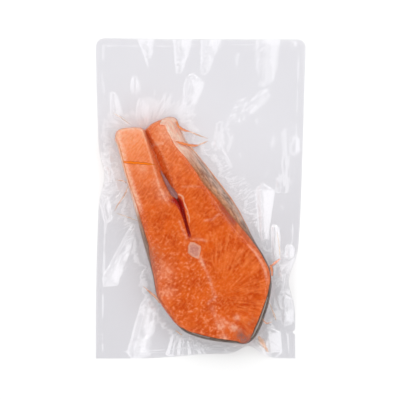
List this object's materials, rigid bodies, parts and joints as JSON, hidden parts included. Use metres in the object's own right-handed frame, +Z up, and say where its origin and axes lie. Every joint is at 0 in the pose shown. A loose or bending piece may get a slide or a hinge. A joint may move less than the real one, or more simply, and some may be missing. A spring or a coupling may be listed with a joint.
{
  "type": "frozen salmon portion in a vacuum bag",
  "caption": "Frozen salmon steak, cut across the fish with two belly flaps, sealed in a clear flat vacuum bag and lying on its face.",
  "frame": {"origin": "middle of the pack's footprint, on the surface that it lies on", "axes": "+X across the bag, +Y along the bag towards the end with the rounded corners, +Z up from the surface"},
  "size_m": [0.1616, 0.2467, 0.0226],
  "materials": {
    "pack_film": "clear glossy film, slightly milky where two plies lie together",
    "salmon_flesh": "moist frozen flesh with pale marbling",
    "salmon_skin": "silvery scaled skin, darker towards the back",
    "salmon_bone": "greyish pink cut bone and membrane",
    "salmon_juice": "wet orange juice drawn out between the plies"
  },
  "bodies": {
    "root": {"vacuum_pack": "pack_film"}
  },
  "joints": []
}
